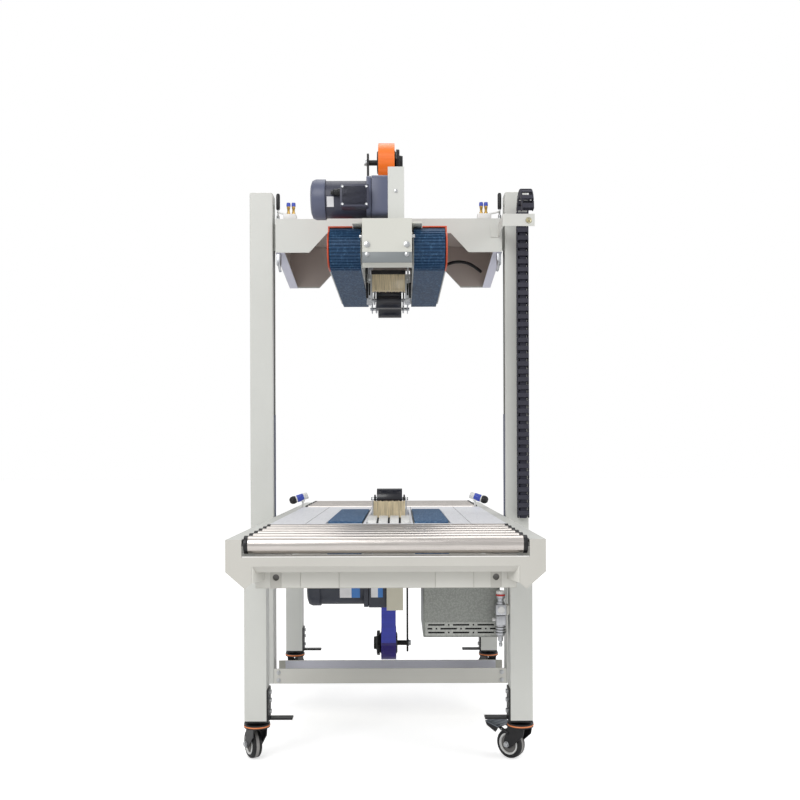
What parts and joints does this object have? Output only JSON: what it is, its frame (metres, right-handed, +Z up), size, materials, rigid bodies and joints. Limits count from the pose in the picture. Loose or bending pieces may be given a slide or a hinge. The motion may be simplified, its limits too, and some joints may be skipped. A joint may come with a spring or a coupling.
{
  "type": "carton sealer",
  "caption": "Carton sealer on casters: roller table, two columns, a lifting head with tape roll, and belts above and below the passage.",
  "frame": {"origin": "on the floor under the middle of the table", "axes": "+X across the conveyor to the right seen from the infeed end, +Y along the conveyor away from the infeed end, +Z up"},
  "size_m": [0.822, 1.65, 1.704],
  "materials": {
    "light_paint": "satin",
    "grey_paint": "satin",
    "beige_paint": "satin",
    "hammer_grey": "hammertone",
    "slate_paint": "satin",
    "orange_paint": "satin",
    "black_steel": "satin",
    "bright_steel": "brushed",
    "roller_steel": "polished tube",
    "stainless": "brushed",
    "silver": "satin",
    "drive_belt": "matt ribbed",
    "tyre": "matt",
    "chain_plastic": "matt",
    "orange_tape": "gloss",
    "blue_tape": "gloss"
  },
  "bodies": {
    "machine": {"air_unit": "silver", "control_box": "hammer_grey", "energy_chain": "chain_plastic", "foot_brackets": "black_steel", "foot_crossbar": "grey_paint", "front_left_leg": "light_paint", "front_panel": "light_paint", "front_right_leg": "light_paint", "left_column": "light_paint", "left_rail": "light_paint", "lift_tubes": "silver", "lower_belt_frame": "orange_paint", "lower_gearmotor": "slate_paint", "lower_left_belt": "drive_belt", "lower_motor_bracket": "beige_paint", "lower_right_belt": "drive_belt", "lower_roll_arm": "black_steel", "lower_tape_head": "stainless", "rear_left_leg": "light_paint", "rear_panel": "light_paint", "rear_right_leg": "light_paint", "right_column": "light_paint", "right_rail": "light_paint", "roller_axles": "bright_steel", "table_plate": "stainless"},
    "head": {"head_frame": "light_paint", "upper_left_belt": "drive_belt", "upper_right_belt": "drive_belt", "upper_belt_frame": "orange_paint", "upper_tape_head": "stainless", "front_box": "light_paint", "upper_gearmotor": "slate_paint", "upper_channel": "light_paint", "upper_roll_arm": "black_steel", "chain_bracket": "light_paint", "lift_rods": "bright_steel"},
    "front_roller_1": {"front_roller_1": "roller_steel"},
    "front_roller_2": {"front_roller_2": "roller_steel"},
    "front_roller_3": {"front_roller_3": "roller_steel"},
    "front_roller_4": {"front_roller_4": "roller_steel"},
    "front_roller_5": {"front_roller_5": "roller_steel"},
    "front_roller_6": {"front_roller_6": "roller_steel"},
    "rear_roller_1": {"rear_roller_1": "roller_steel"},
    "rear_roller_2": {"rear_roller_2": "roller_steel"},
    "rear_roller_3": {"rear_roller_3": "roller_steel"},
    "rear_roller_4": {"rear_roller_4": "roller_steel"},
    "rear_roller_5": {"rear_roller_5": "roller_steel"},
    "rear_roller_6": {"rear_roller_6": "roller_steel"},
    "front_left_swivel": {"front_left_caster_fork": "black_steel"},
    "front_left_wheel": {"front_left_caster_wheel": "tyre"},
    "front_right_swivel": {"front_right_caster_fork": "black_steel"},
    "front_right_wheel": {"front_right_caster_wheel": "tyre"},
    "rear_left_swivel": {"rear_left_caster_fork": "black_steel"},
    "rear_left_wheel": {"rear_left_caster_wheel": "tyre"},
    "rear_right_swivel": {"rear_right_caster_fork": "black_steel"},
    "rear_right_wheel": {"rear_right_caster_wheel": "tyre"},
    "upper_tape_roll": {"upper_tape_roll": "orange_tape"},
    "lower_tape_roll": {"lower_tape_roll": "blue_tape"}
  },
  "joints": [
    {"name": "head_lift", "type": "slide", "parent": "machine", "child": "head", "axis": [0, 0, -1], "range_m": [0, 0.45]},
    {"name": "front_roller_1_spin", "type": "hinge", "parent": "machine", "child": "front_roller_1", "pos_m": [0, -0.805, 0.59], "axis": [1, 0, 0], "continuous": true},
    {"name": "front_roller_2_spin", "type": "hinge", "parent": "machine", "child": "front_roller_2", "pos_m": [0, -0.737, 0.59], "axis": [1, 0, 0], "continuous": true},
    {"name": "front_roller_3_spin", "type": "hinge", "parent": "machine", "child": "front_roller_3", "pos_m": [0, -0.669, 0.59], "axis": [1, 0, 0], "continuous": true},
    {"name": "front_roller_4_spin", "type": "hinge", "parent": "machine", "child": "front_roller_4", "pos_m": [0, -0.601, 0.59], "axis": [1, 0, 0], "continuous": true},
    {"name": "front_roller_5_spin", "type": "hinge", "parent": "machine", "child": "front_roller_5", "pos_m": [0, -0.533, 0.59], "axis": [1, 0, 0], "continuous": true},
    {"name": "front_roller_6_spin", "type": "hinge", "parent": "machine", "child": "front_roller_6", "pos_m": [0, -0.465, 0.59], "axis": [1, 0, 0], "continuous": true},
    {"name": "rear_roller_1_spin", "type": "hinge", "parent": "machine", "child": "rear_roller_1", "pos_m": [0, 0.805, 0.59], "axis": [1, 0, 0], "continuous": true},
    {"name": "rear_roller_2_spin", "type": "hinge", "parent": "machine", "child": "rear_roller_2", "pos_m": [0, 0.737, 0.59], "axis": [1, 0, 0], "continuous": true},
    {"name": "rear_roller_3_spin", "type": "hinge", "parent": "machine", "child": "rear_roller_3", "pos_m": [0, 0.669, 0.59], "axis": [1, 0, 0], "continuous": true},
    {"name": "rear_roller_4_spin", "type": "hinge", "parent": "machine", "child": "rear_roller_4", "pos_m": [0, 0.601, 0.59], "axis": [1, 0, 0], "continuous": true},
    {"name": "rear_roller_5_spin", "type": "hinge", "parent": "machine", "child": "rear_roller_5", "pos_m": [0, 0.533, 0.59], "axis": [1, 0, 0], "continuous": true},
    {"name": "rear_roller_6_spin", "type": "hinge", "parent": "machine", "child": "rear_roller_6", "pos_m": [0, 0.465, 0.59], "axis": [1, 0, 0], "continuous": true},
    {"name": "front_left_swivel_turn", "type": "hinge", "parent": "machine", "child": "front_left_swivel", "pos_m": [-0.337, -0.402, 0.09], "axis": [0, 0, 1], "continuous": true},
    {"name": "front_left_wheel_spin", "type": "hinge", "parent": "front_left_swivel", "child": "front_left_wheel", "pos_m": [-0.35154, -0.37576, 0.0375], "axis": [0.8746, 0.4848, 0], "continuous": true},
    {"name": "front_right_swivel_turn", "type": "hinge", "parent": "machine", "child": "front_right_swivel", "pos_m": [0.337, -0.402, 0.09], "axis": [0, 0, 1], "continuous": true},
    {"name": "front_right_wheel_spin", "type": "hinge", "parent": "front_right_swivel", "child": "front_right_wheel", "pos_m": [0.31471, -0.38193, 0.0375], "axis": [0.6691, 0.7431, 0], "continuous": true},
    {"name": "rear_left_swivel_turn", "type": "hinge", "parent": "machine", "child": "rear_left_swivel", "pos_m": [-0.337, 0.452, 0.09], "axis": [0, 0, 1], "continuous": true},
    {"name": "rear_left_wheel_spin", "type": "hinge", "parent": "rear_left_swivel", "child": "rear_left_wheel", "pos_m": [-0.32923, 0.48098, 0.0375], "axis": [0.9659, -0.2588, 0], "continuous": true},
    {"name": "rear_right_swivel_turn", "type": "hinge", "parent": "machine", "child": "rear_right_swivel", "pos_m": [0.337, 0.452, 0.09], "axis": [0, 0, 1], "continuous": true},
    {"name": "rear_right_wheel_spin", "type": "hinge", "parent": "rear_right_swivel", "child": "rear_right_wheel", "pos_m": [0.32674, 0.48019, 0.0375], "axis": [0.9397, 0.342, 0], "continuous": true},
    {"name": "upper_tape_roll_spin", "type": "hinge", "parent": "head", "child": "upper_tape_roll", "pos_m": [-0.006, -0.028, 1.649], "axis": [1, 0, 0], "continuous": true},
    {"name": "lower_tape_roll_spin", "type": "hinge", "parent": "machine", "child": "lower_tape_roll", "pos_m": [-0.007, 0.206, 0.179], "axis": [1, 0, 0], "continuous": true}
  ]
}
